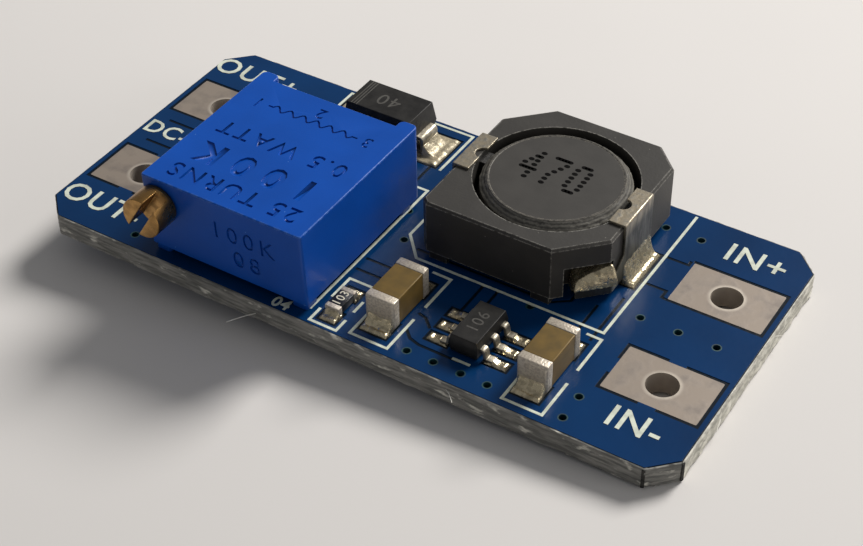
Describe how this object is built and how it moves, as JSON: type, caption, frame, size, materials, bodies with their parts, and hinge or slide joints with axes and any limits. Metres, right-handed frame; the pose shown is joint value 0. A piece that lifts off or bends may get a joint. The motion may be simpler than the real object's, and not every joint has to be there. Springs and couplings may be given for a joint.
{
  "type": "boost converter module",
  "caption": "Adjustable step-up voltage converter board with a side-adjust multi-turn trimmer, a shielded power inductor and plated wire holes at both ends.",
  "frame": {"origin": "centre of the board's underside", "axes": "+X towards the input end, +Y away from the trimmer's screw, +Z towards the component side"},
  "size_m": [0.036, 0.018, 0.007],
  "materials": {
    "solder_mask": "glossy blue coating on fibreglass",
    "land_tin": "dull tin plating",
    "trimmer_blue": "moulded, satin",
    "potting": "cast, matt",
    "screw_brass": "machined",
    "seal_rubber": "matt",
    "carriage_nylon": "moulded",
    "wiper_bronze": "rolled",
    "alumina": "fired, matt",
    "track_film": "printed, matt",
    "tinned_wire": "tinned",
    "solder": "bright",
    "ferrite": "pressed and ground, matt",
    "copper_wire": "enamelled",
    "terminal_tin": "tinned strip",
    "adhesive": "cured epoxy",
    "moulding_compound": "moulded, matt",
    "silicon": "polished",
    "capacitor_ceramic": "fired, satin",
    "end_tin": "tinned, grained",
    "resistor_glaze": "glazed black"
  },
  "bodies": {
    "module": {"wiring_board": "solder_mask", "vin_plus_land": "land_tin", "vin_minus_land": "land_tin", "vout_plus_land": "land_tin", "vout_minus_land": "land_tin", "trimmer_housing": "trimmer_blue", "trimmer_base": "potting", "screw_seal": "seal_rubber", "trimmer_substrate": "alumina", "resistive_track": "track_film", "collector_track": "tinned_wire", "trimmer_pin_1": "tinned_wire", "trimmer_pin_2": "tinned_wire", "trimmer_pin_3": "tinned_wire", "trimmer_solder": "solder", "inductor_shield": "ferrite", "inductor_core": "ferrite", "inductor_winding": "copper_wire", "inductor_terminal_right": "terminal_tin", "inductor_terminal_left": "terminal_tin", "inductor_adhesive": "adhesive", "inductor_solder": "solder", "winding_solder": "solder", "diode_body": "moulding_compound", "diode_chip": "silicon", "diode_lead_anode": "tinned_wire", "diode_lead_cathode": "tinned_wire", "diode_solder": "solder", "regulator_body": "moulding_compound", "regulator_chip": "silicon", "regulator_solder": "solder", "regulator_lead_1": "tinned_wire", "regulator_lead_2": "tinned_wire", "regulator_lead_3": "tinned_wire", "regulator_lead_4": "tinned_wire", "regulator_lead_5": "tinned_wire", "regulator_lead_6": "tinned_wire", "input_capacitor_body": "capacitor_ceramic", "input_capacitor_end_front": "end_tin", "input_capacitor_end_back": "end_tin", "input_capacitor_solder": "solder", "output_capacitor_body": "capacitor_ceramic", "output_capacitor_end_front": "end_tin", "output_capacitor_end_back": "end_tin", "output_capacitor_solder": "solder", "resistor_body": "resistor_glaze", "resistor_end_front": "end_tin", "resistor_end_back": "end_tin", "resistor_solder": "solder"},
    "screw": {"adjusting_screw": "screw_brass"},
    "carriage": {"wiper_carriage": "carriage_nylon", "wiper_spring": "wiper_bronze"}
  },
  "joints": [
    {"name": "carriage_slide", "type": "slide", "parent": "module", "child": "carriage", "axis": [0, 1, 0], "range_m": [-0.003, 0.003]},
    {"name": "screw_turn", "type": "hinge", "parent": "module", "child": "screw", "pos_m": [-0.00997, -0.00812, 0.00456], "axis": [0, -1, 0], "range_deg": [-4500, 4500]}
  ],
  "couplings": [
    {"joint": "screw_turn", "follows": "carriage_slide", "rad_per_m": 26180}
  ]
}
